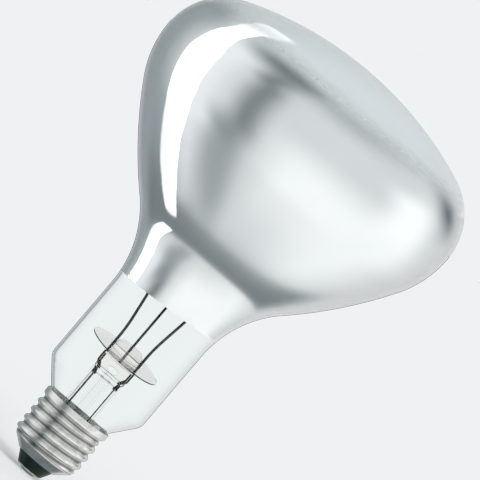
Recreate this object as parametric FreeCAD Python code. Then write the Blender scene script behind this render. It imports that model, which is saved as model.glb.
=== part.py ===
"""An infrared reflector heat lamp bulb, upright, face up and screw cap down.

Millimetres. The origin is the flat of the end contact, on the axis, and +Z runs along
the axis to the middle of the domed face. The blown bulb, its mirror and the inside of
its wall all come from one outline, taken at different depths below the glass surface.
"""

import FreeCAD, Part
import math
import os

from FreeCAD import Vector

# Overall heights
CAP_HEIGHT = 27.5            # end contact to the rim of the screw shell
GLASS_ABOVE_CAP = 153.0      # rim of the shell to the middle of the face

# Blown bulb
BULB_DIAMETER = 125.0
GLASS_WALL = 1.0
FACE_RADIUS = 128.7          # sphere of the domed face
CROWN_DEPTH = 31.5           # face down to the widest circle
UPPER_BOWL_RADIUS = 38.0
UPPER_BOWL_TURN = 31.0       # degrees of the first arc below the widest circle
LOWER_BOWL_RADIUS = 160.0
FILLET_RADIUS = 40.4         # hollow curve from the bowl into the neck
NECK_DIAMETER = 40.0
NECK_SHOULDER_RADIUS = 5.0
NECK_TAPER = 39.0            # degrees from the axis
SEAT_GAP = 0.75              # glass to the inside of the cap's rim
CEMENT_ROOM = 1.15           # neck's end to the inside of the thread's grooves
STUB_FILLET = 2.0
STUB_DEPTH = 7.0             # neck's end below the rim of the shell

# Mirror
MIRROR_THICKNESS = 0.15
MIRROR_EDGE_DEPTH = 105.4    # face down to the mirror's edge across the neck
MIRROR_EDGE_TILT = 3.3       # degrees, higher on the right
MIRROR_TOP_DEPTH = 12.0      # face down to the end of the mirror

# Screw shell, with the round thread of a standard 27 mm lamp cap
THREAD_DIAMETER = 26.3
THREAD_PITCH = 3.629
THREAD_DEPTH = 1.1
SKIRT_HEIGHT = 3.6           # rim to the groove under the skirt
THREAD_START = 2.85          # that groove to the topmost one of the thread seen from the front
THREAD_RUNOUT = 3.6          # shell's lower edge to where the thread has faded out
THREAD_FADE = 1.6
SHELL_WALL = 0.3
ROWS_PER_PITCH = 10          # points that the shell's surface is laid through
COLUMNS = 48
SEWING = 1e-5                # how far apart edges of the skin may lie
SKIRT_JOINT = 1e-4           # how far the skin and the skirt may lie from each other
SKIRT_STEP = 0.15            # skirt's radius over the thread's crests
SHELL_END = 5.4              # lower edge of the shell
SHELL_MOUTH_DIAMETER = 15.6  # hole that the insulator comes through
SHELL_SLOPE = 51.0           # degrees from the axis, on the round end
SHELL_END_ROUND = 1.4

# End contact and insulator
SOLDER_HEIGHT = 1.0
SOLDER_DIAMETER = 6.4
SOLDER_FLAT = 2.6
SOLDER_BULGE = 0.2
PLATE_DIAMETER = 9.4
PLATE_THICKNESS = 0.4
EYELET_DIAMETER = 2.6
EYELET_BORE = 1.4
EYELET_DEPTH = 1.6
INSULATOR_TIP_DIAMETER = 9.8
INSULATOR_CLEARANCE = 0.1
INSULATOR_PLUG = 2.2         # thickness of the plug inside the shell

# Glass stem
STEM_DIAMETER = 12.6
STEM_WALL = 0.9
STEM_HEIGHT = 23.0           # neck's end to the press
PRESS_HEIGHT = 6.0
HEAD_HEIGHT = 7.0            # press to the top of the head
PRESS_THICKNESS = 4.2
PRESS_LIP = 1.4              # rounding left by the lower lip of the press's jaws
BLOW_HOLE_WIDTH = 4.6
BLOW_HOLE_HEIGHT = 2.2
BLOW_HOLE_RISE = 2.1         # press's bottom to the middle of the hole
HEAD_DIAMETER = 11.0
HEAD_ROUND = 2.4
BAND_DIAMETER = 11.4
BAND_HEIGHT = 2.1
WAIST_DIAMETER = 9.6
WAIST_HEIGHT = 0.6
EXHAUST_DIAMETER = 4.4
EXHAUST_BORE = 2.6
EXHAUST_DROP = 6.0           # neck's end to the sealed tip
STEM_CLOSURE_WALL = 1.6      # glass between the tube's bore and the press
CLOSURE_ROUND = 2.0

# Heat shield
DISC_DIAMETER = 28.4
DISC_THICKNESS = 0.4
DISC_RISE = 2.8              # press to the middle of the disc
DISC_TILT_FRONT = 8.0        # degrees, front edge down
DISC_TILT_SIDE = 2.5         # degrees, right edge down
DISC_CLEARANCE = 0.2

# Wires
LEAD_WIRE = 1.0              # diameters
SUPPORT_WIRE = 0.9
SEAL_WIRE = 1.5
OUTER_WIRE = 0.7
SIDE_LEAD_WIRE = 0.5
LEAD_SPREAD = 13.0           # half the distance between the leads at the filament
LEAD_FOOT = 6.0              # half the distance between the leads at the press
LEAD_BEND_RISE = 10.5        # press to where the leads begin to spread
LEAD_BEND = 60.0             # bend radii
LEAD_TIP = 1.3               # lead past the filament
SUPPORT_RISE = 6.0           # head to the support's bend
SEAL_STEP = 2.2              # height of the seal's step
SEAL_BEND = 1.2
SEAL_BELOW = 2.6             # seal below the press
OUTER_BEND = 2.0
CENTRE_LEAD_DROP = 3.0       # neck's end to where the centre lead turns in
CENTRE_LEAD_RISE = 1.5
SIDE_LEAD_BEND = 0.9
SIDE_LEAD_GAP = 0.25
SIDE_LEAD_DROP = 2.6
SEAT_RISE = 2.7              # rim down to where the side lead leaves the neck
LEAD_STOP = 0.55             # how far the flattened stops under the disc stand out
STOP_HEIGHT = 1.2
FILAMENT_RISE = 59.0         # press to the filament
FILAMENT_COIL = 1.8          # diameter of the coil
LOOP_CLEARANCE = 0.15
LOOP_WIRE = 0.6
WIRE_CLEARANCE = 0.05
OUTER_LEAD_FOOT = 4.6        # half the distance between the outer leads
SIDE_LEAD_ANGLE = -50.0      # degrees round the rim from the right
SIDE_SOLDER_LENGTH = 3.4
SIDE_SOLDER_HEIGHT = 1.5
SIDE_SOLDER_DEPTH = 1.5
CEMENT_CLEARANCE = 0.05
CEMENT_RECESS = 0.1
CHANNEL_CLEARANCE = 0.1      # round the side lead, in the cement

# Worked out from the sizes above
APEX = CAP_HEIGHT + GLASS_ABOVE_CAP
BULB_RADIUS = BULB_DIAMETER / 2
NECK_RADIUS = NECK_DIAMETER / 2
CREST = THREAD_DIAMETER / 2
ROOT = CREST - THREAD_DEPTH
SKIRT = CREST + SKIRT_STEP
STUB_RADIUS = ROOT - SHELL_WALL - CEMENT_ROOM
STUB_BORE = STUB_RADIUS - GLASS_WALL
NECK_END = CAP_HEIGHT - STUB_DEPTH
EXHAUST_TIP = NECK_END - EXHAUST_DROP
STEM_RADIUS = STEM_DIAMETER / 2
MOUTH = SHELL_MOUTH_DIAMETER / 2
THREAD_TOP = CAP_HEIGHT - SKIRT_HEIGHT
THREAD_FRONT = THREAD_TOP - THREAD_START
THREAD_END = SHELL_END + THREAD_RUNOUT
SKIRT_BOTTOM = THREAD_TOP + THREAD_PITCH / 2
PLATE_BOTTOM = SOLDER_HEIGHT
PLATE_TOP = PLATE_BOTTOM + PLATE_THICKNESS
PRESS_BOTTOM = NECK_END + STEM_HEIGHT
PRESS_TOP = PRESS_BOTTOM + PRESS_HEIGHT
HEAD_TOP = PRESS_TOP + HEAD_HEIGHT
DISC_HEIGHT = PRESS_TOP + DISC_RISE
FILAMENT_HEIGHT = PRESS_TOP + FILAMENT_RISE
STEM_CLOSURE = PRESS_BOTTOM - STEM_CLOSURE_WALL
SEAL_END = PRESS_BOTTOM - SEAL_BELOW


def at(radius, height):
    """Point of a profile: distance from the axis, and height."""
    return Vector(radius, 0, height)


def polar(centre, radius, degrees):
    """Point of a profile on an arc."""
    angle = math.radians(degrees)
    return centre + Vector(radius * math.cos(angle), 0, radius * math.sin(angle))


def arc(centre, radius, start, end):
    """Arc of a profile between two directions, in degrees."""
    points = [polar(centre, radius, turn) for turn in (start, (start + end) / 2, end)]
    return Part.Arc(*points).toShape()


def joined(edges):
    """Run of edges with straight lines across the gaps between them."""
    run = [edges[0]]
    for edge in edges[1:]:
        last = run[-1].lastVertex(True).Point
        first = edge.firstVertex(True).Point
        if last.distanceToPoint(first) > 1e-6:
            run.append(Part.makeLine(last, first))
        run.append(edge)
    return run


def closed(edges):
    """Closed wire through a run of edges."""
    run = joined(edges)
    last = run[-1].lastVertex(True).Point
    first = run[0].firstVertex(True).Point
    if last.distanceToPoint(first) > 1e-6:
        run.append(Part.makeLine(last, first))
    return Part.Wire(run)


def turned(edges):
    """Solid of revolution about the axis."""
    face = Part.Face(closed(edges))
    return face.revolve(Vector(0, 0, 0), Vector(0, 0, 1), 360)


def turned_points(points):
    """Solid of revolution of a straight-sided profile, as (radius, height) pairs."""
    corners = [at(radius, height) for radius, height in points]
    lines = [Part.makeLine(a, b) for a, b in zip(corners, corners[1:])]
    return turned(lines)


def backwards(edges):
    """The same run of edges in the other direction."""
    flipped = []
    for edge in reversed(edges):
        start = edge.lastVertex(True).Point
        end = edge.firstVertex(True).Point
        if edge.Curve.TypeId == "Part::GeomLine":
            flipped.append(Part.makeLine(start, end))
        else:
            middle = edge.valueAt((edge.FirstParameter + edge.LastParameter) / 2)
            flipped.append(Part.Arc(start, middle, end).toShape())
    return flipped


def bulb_outline(depth):
    """Outline of the bulb from the face to the neck's end, depth below the surface."""
    shoulder_radius = ((FACE_RADIUS - CROWN_DEPTH) ** 2 + BULB_RADIUS ** 2 - FACE_RADIUS ** 2)
    shoulder_radius /= 2 * (BULB_RADIUS - FACE_RADIUS)
    crown = APEX - CROWN_DEPTH
    face_centre = at(0, APEX - FACE_RADIUS)
    shoulder_centre = at(BULB_RADIUS - shoulder_radius, crown)
    across = shoulder_centre - face_centre
    face_turn = math.degrees(math.atan2(across.z, across.x))
    upper_centre = at(BULB_RADIUS - UPPER_BOWL_RADIUS, crown)
    lower_centre = polar(upper_centre, UPPER_BOWL_RADIUS - LOWER_BOWL_RADIUS, -UPPER_BOWL_TURN)
    between = LOWER_BOWL_RADIUS + FILLET_RADIUS
    bowl_slope = math.degrees(math.acos((NECK_RADIUS + FILLET_RADIUS - lower_centre.x) / between))
    fillet_centre = polar(lower_centre, between, -bowl_slope)
    slope = math.tan(math.radians(NECK_TAPER))
    seat = SKIRT - SHELL_WALL - SEAT_GAP
    taper = polar(at(NECK_RADIUS - NECK_SHOULDER_RADIUS, 0), NECK_SHOULDER_RADIUS, -NECK_TAPER)
    rise = CAP_HEIGHT + (taper.x - seat) / slope - taper.z
    taper.z += rise
    taper_centre = at(NECK_RADIUS - NECK_SHOULDER_RADIUS, rise)
    stub_x = STUB_RADIUS + STUB_FILLET
    stub_turn = math.radians(NECK_TAPER)
    end_x = stub_x - STUB_FILLET * math.cos(stub_turn)
    end_z = taper.z - (taper.x - end_x) / slope
    stub_centre = at(stub_x, end_z - STUB_FILLET * math.sin(stub_turn))
    return joined([
        arc(face_centre, FACE_RADIUS - depth, 90, face_turn),
        arc(shoulder_centre, shoulder_radius - depth, face_turn, 0),
        arc(upper_centre, UPPER_BOWL_RADIUS - depth, 0, -UPPER_BOWL_TURN),
        arc(lower_centre, LOWER_BOWL_RADIUS - depth, -UPPER_BOWL_TURN, -bowl_slope),
        arc(fillet_centre, FILLET_RADIUS + depth, 180 - bowl_slope, 180),
        arc(taper_centre, NECK_SHOULDER_RADIUS - depth, 0, -NECK_TAPER),
        arc(stub_centre, STUB_FILLET + depth, 180 - NECK_TAPER, 180),
        Part.makeLine(at(STUB_RADIUS - depth, stub_centre.z), at(STUB_RADIUS - depth, NECK_END)),
    ])


def glass_envelope():
    """Blown bulb, hollow from the face to the open end of the neck."""
    outside = bulb_outline(0)
    inside = backwards(bulb_outline(GLASS_WALL))
    return turned(outside + inside)


def mirror_coating():
    """Aluminium layer on the inside of the bowl, between its top and its slanted edge."""
    outside = bulb_outline(GLASS_WALL)
    inside = backwards(bulb_outline(GLASS_WALL + MIRROR_THICKNESS))
    layer = turned(outside + inside)
    height = MIRROR_EDGE_DEPTH - MIRROR_TOP_DEPTH
    reach = 2 * BULB_DIAMETER
    kept = Part.makeBox(reach, reach, 2 * height, Vector(-reach / 2, -reach / 2, 0))
    kept.rotate(Vector(0, 0, 0), Vector(0, 1, 0), -MIRROR_EDGE_TILT)
    kept.translate(Vector(0, 0, APEX - MIRROR_EDGE_DEPTH))
    below_top = Part.makeCylinder(BULB_DIAMETER, APEX - MIRROR_TOP_DEPTH)
    return layer.common(kept).common(below_top)


def thread_wave(drop, depth):
    """Surface of the round thread against its crest, at a height from the groove."""
    quarter = THREAD_PITCH / 4
    radius = (quarter ** 2 + (THREAD_DEPTH / 2) ** 2) / THREAD_DEPTH
    drop = abs((drop + THREAD_PITCH / 2) % THREAD_PITCH - THREAD_PITCH / 2)
    if drop < quarter * (1 + depth / radius):
        return radius - THREAD_DEPTH - math.sqrt((radius + depth) ** 2 - drop ** 2)
    rest = THREAD_PITCH / 2 - drop
    return math.sqrt((radius - depth) ** 2 - rest ** 2) - radius


def shell_end_radius(height, depth):
    """Surface of the shell below its thread: straight side, round turn, cone to the mouth."""
    slope = math.radians(SHELL_SLOPE)
    centre = ROOT - SHELL_END_ROUND
    edge = centre + SHELL_END_ROUND * math.cos(slope)
    middle = SHELL_END + (edge - MOUTH) / math.tan(slope) + SHELL_END_ROUND * math.sin(slope)
    round_left = SHELL_END_ROUND - depth
    drop = middle - height
    if drop <= 0:
        return ROOT - depth
    if drop < round_left * math.sin(slope):
        return centre + math.sqrt(round_left ** 2 - drop ** 2)
    return MOUTH - depth / math.cos(slope) + (height - SHELL_END) * math.tan(slope)


def blend(value):
    """Smooth step from 0 to 1."""
    value = min(max(value, 0.0), 1.0)
    return value * value * (3 - 2 * value)


def shell_radius(angle, height, depth):
    """Radius of the shell at an angle from the right, in degrees, and a height."""
    above_ring = height - THREAD_TOP
    ring = thread_wave(above_ring, depth)
    if above_ring > 0:
        return SKIRT + (ring + depth) * (SKIRT - ROOT) / THREAD_DEPTH - depth
    groove = THREAD_FRONT + THREAD_PITCH * (angle - 270) / 360
    thread = CREST + thread_wave(height - groove, depth)
    upper = blend(-above_ring / THREAD_FADE)
    lower = blend((height - THREAD_END) / THREAD_FADE)
    mixed = thread * upper + (CREST + ring) * (1 - upper)
    return mixed * lower + shell_end_radius(height, depth) * (1 - lower)


def spline_through(points, places, periodic):
    """Spline through points at given parameters."""
    curve = Part.BSplineCurve()
    curve.interpolate(Points=points, Parameters=places, PeriodicFlag=periodic)
    return curve


def shell_face(depth):
    """One seamless face round the shell below its skirt, depth below its outer surface."""
    rise = SKIRT_BOTTOM - SHELL_END
    rows = round(rise / THREAD_PITCH * ROWS_PER_PITCH)
    heights = [SHELL_END + rise * row / rows for row in range(rows + 1)]
    angles = [360 * column / COLUMNS for column in range(COLUMNS)]
    sides = []
    for angle in angles:
        points = []
        for height in heights:
            radius = shell_radius(angle, height, depth)
            turn = math.radians(angle)
            points.append(Vector(radius * math.cos(turn), radius * math.sin(turn), height))
        sides.append(spline_through(points, heights, False))
    poles = [side.getPoles() for side in sides]
    places = [float(column) for column in range(COLUMNS + 1)]
    rings = [spline_through([side[row] for side in poles], places, True)
             for row in range(len(poles[0]))]
    net = [list(column) for column in zip(*[ring.getPoles() for ring in rings])]
    surface = Part.BSplineSurface()
    surface.buildFromPolesMultsKnots(
        net, rings[0].getMultiplicities(), sides[0].getMultiplicities(),
        rings[0].getKnots(), sides[0].getKnots(), True, False, 3, 3)
    return surface.toShape()


def level(edge, height):
    """Whether an edge lies flat at a height."""
    box = edge.BoundBox
    return abs(box.ZMin - height) < 1e-3 and abs(box.ZMax - height) < 1e-3


def cap_shell():
    """Rolled sheet shell: the round screw thread on both of its faces, and the plain skirt."""
    faces = [shell_face(0), shell_face(SHELL_WALL)]
    ends = []
    for height in (SHELL_END, SKIRT_BOTTOM):
        rims = [Part.Wire([edge for edge in face.Edges if level(edge, height)]) for face in faces]
        ends.append(Part.makeFace(rims, "Part::FaceMakerBullseye"))
    shell = Part.Shell(faces + ends)
    shell.sewShape()
    threaded = Part.Solid(shell)
    threaded.fix(SEWING, SEWING, SEWING)
    skirt = turned_points([
        (SKIRT - SHELL_WALL, SKIRT_BOTTOM),
        (SKIRT, SKIRT_BOTTOM),
        (SKIRT, CAP_HEIGHT),
        (SKIRT - SHELL_WALL, CAP_HEIGHT),
    ])
    return threaded.fuse([skirt], SKIRT_JOINT)


def cap_insulator():
    """Dark glass cone under the shell, and its plug inside the shell's round end."""
    hole = (EYELET_DIAMETER + 2 * INSULATOR_CLEARANCE) / 2
    mouth = shell_end_radius(SHELL_END, SHELL_WALL) - INSULATOR_CLEARANCE
    top = SHELL_END + INSULATOR_PLUG
    plug = shell_end_radius(top, SHELL_WALL) - INSULATOR_CLEARANCE
    return turned_points([
        (hole, PLATE_TOP),
        (INSULATOR_TIP_DIAMETER / 2, PLATE_TOP),
        (mouth, SHELL_END),
        (plug, top),
        (hole, top),
    ])


def contact_plate():
    """Disc under the insulator, with the eyelet that the centre lead comes through."""
    rim = PLATE_DIAMETER / 2
    roll = PLATE_THICKNESS / 2
    bore = EYELET_BORE / 2
    return turned([
        Part.makeLine(at(bore, PLATE_BOTTOM), at(rim - roll, PLATE_BOTTOM)),
        arc(at(rim - roll, PLATE_BOTTOM + roll), roll, -90, 90),
        Part.makeLine(at(rim - roll, PLATE_TOP), at(EYELET_DIAMETER / 2, PLATE_TOP)),
        Part.makeLine(at(EYELET_DIAMETER / 2, PLATE_TOP + EYELET_DEPTH),
                      at(bore, PLATE_TOP + EYELET_DEPTH)),
    ])


def contact_solder():
    """Button of solder over the eyelet, with the small flat that the holder presses."""
    flat = at(SOLDER_FLAT / 2, 0)
    edge = at(SOLDER_DIAMETER / 2, PLATE_BOTTOM)
    middle = (flat + edge) / 2 + Vector(SOLDER_BULGE, 0, -SOLDER_BULGE)
    return turned([
        Part.makeLine(at(0, 0), flat),
        Part.Arc(flat, middle, edge).toShape(),
        Part.makeLine(edge, at(0, PLATE_BOTTOM)),
    ])


def wire(points, diameter, bend):
    """Round wire along straight runs joined by tangent bends of one radius."""
    edges = []
    start = points[0]
    for before, corner, after in zip(points, points[1:], points[2:]):
        arriving = (corner - before).normalize()
        leaving = (after - corner).normalize()
        turn = arriving.getAngle(leaving)
        reach = bend * math.tan(turn / 2)
        inward = (leaving - arriving).normalize()
        first = corner - arriving * reach
        last = corner + leaving * reach
        middle = corner + inward * (bend / math.cos(turn / 2) - bend)
        edges.append(Part.makeLine(start, first))
        edges.append(Part.Arc(first, middle, last).toShape())
        start = last
    edges.append(Part.makeLine(start, points[-1]))
    section = Part.makeCircle(diameter / 2, points[0], points[1] - points[0])
    return Part.Wire(edges).makePipeShell([Part.Wire(section)], True, False)


def mirrored(points):
    """The same route on the left."""
    return [Vector(-point.x, point.y, point.z) for point in points]


def disc_frame(shape):
    """Places a shape made round the axis on the slant of the heat shield."""
    shape.rotate(Vector(0, 0, 0), Vector(1, 0, 0), DISC_TILT_FRONT)
    shape.rotate(Vector(0, 0, 0), Vector(0, 1, 0), DISC_TILT_SIDE)
    shape.translate(Vector(0, 0, DISC_HEIGHT))
    return shape


def lead_route():
    """Route of the right lead, from the press up to just past the filament."""
    bend = Vector(LEAD_FOOT, 0, PRESS_TOP + LEAD_BEND_RISE)
    filament = Vector(LEAD_SPREAD, 0, FILAMENT_HEIGHT)
    tip = filament + (filament - bend).normalize() * LEAD_TIP
    return [Vector(LEAD_FOOT, 0, PRESS_TOP), bend, tip]


def lead_wire(side):
    """Inner lead with the flattened stop that holds the heat shield up, 1 right, -1 left."""
    route = lead_route() if side > 0 else mirrored(lead_route())
    shape = wire(route, LEAD_WIRE, LEAD_BEND)
    under = DISC_HEIGHT - side * LEAD_FOOT * math.tan(math.radians(DISC_TILT_SIDE))
    top = under - DISC_THICKNESS / 2 - DISC_CLEARANCE
    width = LEAD_WIRE + 2 * LEAD_STOP
    stop = Part.makeBox(LEAD_WIRE, width, STOP_HEIGHT,
                        Vector(side * LEAD_FOOT - LEAD_WIRE / 2, -width / 2, top - STOP_HEIGHT))
    stop = stop.makeFillet(STOP_HEIGHT / 4, upright_edges(stop))
    return shape.fuse(stop).removeSplitter()


def upright_edges(shape):
    """Edges of a block that stand upright."""
    return [edge for edge in shape.Edges if edge.BoundBox.XLength + edge.BoundBox.YLength < 1e-6]


def support_wire():
    """Centre wire from the glass head, leaning back to its loop round the filament."""
    loop = (FILAMENT_COIL + LOOP_WIRE) / 2 + LOOP_CLEARANCE
    top = Vector(0, LEAD_SPREAD, FILAMENT_HEIGHT - loop)
    route = [Vector(0, 0, PRESS_TOP + WAIST_HEIGHT), Vector(0, 0, HEAD_TOP + SUPPORT_RISE), top]
    shape = wire(route, SUPPORT_WIRE, LEAD_BEND)
    ring = Part.makeTorus(loop, LOOP_WIRE / 2, Vector(0, LEAD_SPREAD, FILAMENT_HEIGHT),
                          Vector(1, 0, 0))
    return shape.fuse(ring).removeSplitter()


def filament_coil():
    """Outer form of the fine coil, a half circle behind the two leads."""
    start = math.degrees(math.asin((LEAD_WIRE / 2 + WIRE_CLEARANCE) / LEAD_SPREAD))
    section = Part.makeCircle(FILAMENT_COIL / 2, Vector(LEAD_SPREAD, 0, FILAMENT_HEIGHT),
                              Vector(0, 1, 0))
    face = Part.Face(Part.Wire(section))
    coil = face.revolve(Vector(0, 0, 0), Vector(0, 0, 1), 180 - 2 * start)
    coil.rotate(Vector(0, 0, 0), Vector(0, 0, 1), start)
    return coil


def seal_wire(side):
    """Thick sealing piece beside the press, stepping inwards to the stem's bore."""
    route = [
        Vector(LEAD_FOOT, 0, PRESS_TOP),
        Vector(LEAD_FOOT, 0, PRESS_BOTTOM + SEAL_STEP),
        Vector(OUTER_LEAD_FOOT, 0, PRESS_BOTTOM),
        Vector(OUTER_LEAD_FOOT, 0, SEAL_END),
    ]
    return wire(route if side > 0 else mirrored(route), SEAL_WIRE, SEAL_BEND)


def outer_lead_centre():
    """Lead from the left seal down past the exhaust tip to the end contact."""
    route = [
        Vector(-OUTER_LEAD_FOOT, 0, SEAL_END),
        Vector(-OUTER_LEAD_FOOT, 0, NECK_END - CENTRE_LEAD_DROP),
        Vector(0, 0, SHELL_END + INSULATOR_PLUG + CENTRE_LEAD_RISE),
        Vector(0, 0, PLATE_BOTTOM),
    ]
    return wire(route, OUTER_WIRE, OUTER_BEND)


def rim_point(radius, height):
    """Point at the angle where the side lead comes out."""
    angle = math.radians(SIDE_LEAD_ANGLE)
    return Vector(radius * math.cos(angle), radius * math.sin(angle), height)


def side_lead_route():
    """Route from the right seal, round the neck's end and up to the shell's rim."""
    beside = STUB_RADIUS + SIDE_LEAD_GAP + SIDE_LEAD_WIRE / 2
    at_rim = SKIRT - SHELL_WALL - SIDE_LEAD_WIRE / 2 - WIRE_CLEARANCE
    return [
        Vector(OUTER_LEAD_FOOT, 0, SEAL_END),
        Vector(OUTER_LEAD_FOOT, 0, NECK_END),
        rim_point(STUB_BORE / 2, NECK_END - SIDE_LEAD_DROP / 2),
        rim_point(beside, NECK_END - SIDE_LEAD_DROP),
        rim_point(beside, CAP_HEIGHT - SEAT_RISE),
        rim_point(at_rim, CAP_HEIGHT - SEAT_RISE / 3),
        rim_point(at_rim, CAP_HEIGHT + WIRE_CLEARANCE),
    ]


def filled_bulb():
    """The bulb's outer form, filled, to cut its neighbours."""
    return turned(bulb_outline(0) + [Part.makeLine(at(0, NECK_END), at(0, APEX))])


def side_solder(cuts):
    """Rounded lump of solder on the rim, against the neck."""
    middle = SKIRT - SHELL_WALL / 2
    lump = Part.makeSphere(1)
    shape = FreeCAD.Matrix()
    shape.scale(SIDE_SOLDER_DEPTH / 2, SIDE_SOLDER_LENGTH / 2, SIDE_SOLDER_HEIGHT)
    lump = lump.transformGeometry(shape)
    lump.rotate(Vector(0, 0, 0), Vector(0, 0, 1), SIDE_LEAD_ANGLE)
    lump.translate(rim_point(middle, CAP_HEIGHT))
    above = Part.makeCylinder(SKIRT + SIDE_SOLDER_DEPTH, 2 * SIDE_SOLDER_HEIGHT,
                              Vector(0, 0, CAP_HEIGHT))
    return lump.common(above).cut(cuts)


def cap_cement(cuts):
    """Ring of cement between the shell and the neck."""
    low = THREAD_TOP - THREAD_PITCH / 2
    groove = ROOT - SHELL_WALL - CEMENT_CLEARANCE
    rim = SKIRT - SHELL_WALL - CEMENT_CLEARANCE
    return turned_points([
        (STUB_RADIUS, low),
        (groove, low),
        (groove, THREAD_TOP + THREAD_PITCH / 4),
        (rim, SKIRT_BOTTOM),
        (rim, CAP_HEIGHT - CEMENT_RECESS),
        (STUB_RADIUS, CAP_HEIGHT - CEMENT_RECESS),
    ]).cut(cuts)


def exhaust_tube():
    """Thin tube from the press down to its sealed tip."""
    outer = EXHAUST_DIAMETER / 2
    bore = EXHAUST_BORE / 2
    wall = outer - bore
    return turned([
        Part.makeLine(at(bore, STEM_CLOSURE), at(outer, STEM_CLOSURE)),
        arc(at(0, EXHAUST_TIP + outer), outer, 0, -90),
        Part.makeLine(at(0, EXHAUST_TIP), at(0, EXHAUST_TIP + wall)),
        arc(at(0, EXHAUST_TIP + outer), bore, -90, 0),
    ])


def stem_glass(cuts):
    """Flare, tube, press with its blow hole, and the rounded head, as one piece."""
    flare = STUB_BORE - STEM_RADIUS
    bore = STEM_RADIUS - STEM_WALL
    turn = at(STUB_BORE, NECK_END + flare)
    tube = turned([
        Part.makeLine(at(STUB_RADIUS, NECK_END), at(STUB_BORE, NECK_END)),
        arc(turn, flare, 270, 180),
        Part.makeLine(at(STEM_RADIUS, PRESS_TOP), at(0, PRESS_TOP)),
        Part.makeLine(at(0, STEM_CLOSURE), at(bore - CLOSURE_ROUND, STEM_CLOSURE)),
        arc(at(bore - CLOSURE_ROUND, STEM_CLOSURE - CLOSURE_ROUND), CLOSURE_ROUND, 90, 0),
        arc(turn, flare + STEM_WALL, 180, 270),
        Part.makeLine(at(STUB_BORE, NECK_END - STEM_WALL), at(STUB_RADIUS, NECK_END - STEM_WALL)),
    ])
    head_radius = HEAD_DIAMETER / 2
    band_bottom = PRESS_TOP + WAIST_HEIGHT
    band_top = band_bottom + BAND_HEIGHT
    round_centre = at(head_radius - HEAD_ROUND, HEAD_TOP - HEAD_ROUND)
    waist = WAIST_DIAMETER / 2
    waist_bottom = PRESS_TOP - WAIST_HEIGHT
    head = turned([
        Part.makeLine(at(0, waist_bottom), at(waist, waist_bottom)),
        Part.makeLine(at(waist, PRESS_TOP), at(BAND_DIAMETER / 2, band_bottom)),
        Part.makeLine(at(BAND_DIAMETER / 2, band_top), at(head_radius, band_top)),
        arc(round_centre, HEAD_ROUND, 0, 90),
        Part.makeLine(at(round_centre.x, HEAD_TOP), at(0, HEAD_TOP)),
    ])
    half = PRESS_THICKNESS / 2
    hole = Part.Wire(Part.Ellipse(
        Vector(0, 0, 0), BLOW_HOLE_WIDTH / 2, BLOW_HOLE_HEIGHT / 2).toShape())
    blow_hole = Part.Face(hole).extrude(Vector(0, 0, 2 * STEM_RADIUS))
    blow_hole.rotate(Vector(0, 0, 0), Vector(1, 0, 0), 90)
    blow_hole.translate(Vector(0, STEM_RADIUS, PRESS_BOTTOM + BLOW_HOLE_RISE))
    blow_bore = Part.makeCylinder(EXHAUST_BORE / 2, PRESS_BOTTOM + BLOW_HOLE_RISE - STEM_CLOSURE,
                                  Vector(0, 0, STEM_CLOSURE))
    body = tube
    for side in (1, -1):
        body = body.cut(press_jaw(side, half))
    return body.fuse(head).removeSplitter().cut([blow_hole, blow_bore] + cuts)


def press_jaw(side, half):
    """Room taken by one jaw of the press, with its rounded lower lip."""
    low = PRESS_BOTTOM + PRESS_LIP
    front = half if side > 0 else -half - STEM_RADIUS
    block = Part.makeBox(2 * STEM_DIAMETER, STEM_RADIUS, PRESS_TOP - WAIST_HEIGHT - low,
                         Vector(-STEM_DIAMETER, front, low))
    lip = Part.makeCylinder(PRESS_LIP, 2 * STEM_DIAMETER,
                            Vector(-STEM_DIAMETER, side * (half + PRESS_LIP), low), Vector(1, 0, 0))
    outer = Part.makeBox(2 * STEM_DIAMETER, STEM_RADIUS, PRESS_LIP,
                         Vector(-STEM_DIAMETER, front + side * PRESS_LIP, low - PRESS_LIP))
    return block.fuse([lip, outer])


def heat_shield_disc(cuts):
    """Thin slanted disc across the neck, round the head and the leads."""
    disc = Part.makeCylinder(DISC_DIAMETER / 2, DISC_THICKNESS, Vector(0, 0, -DISC_THICKNESS / 2))
    slant = math.radians(DISC_TILT_FRONT)
    hole = HEAD_DIAMETER / 2 / math.cos(slant) + DISC_THICKNESS * math.tan(slant) + DISC_CLEARANCE
    middle = Part.makeCylinder(hole, 2 * DISC_THICKNESS, Vector(0, 0, -DISC_THICKNESS))
    return disc_frame(disc.cut(middle)).cut(cuts)


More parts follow.
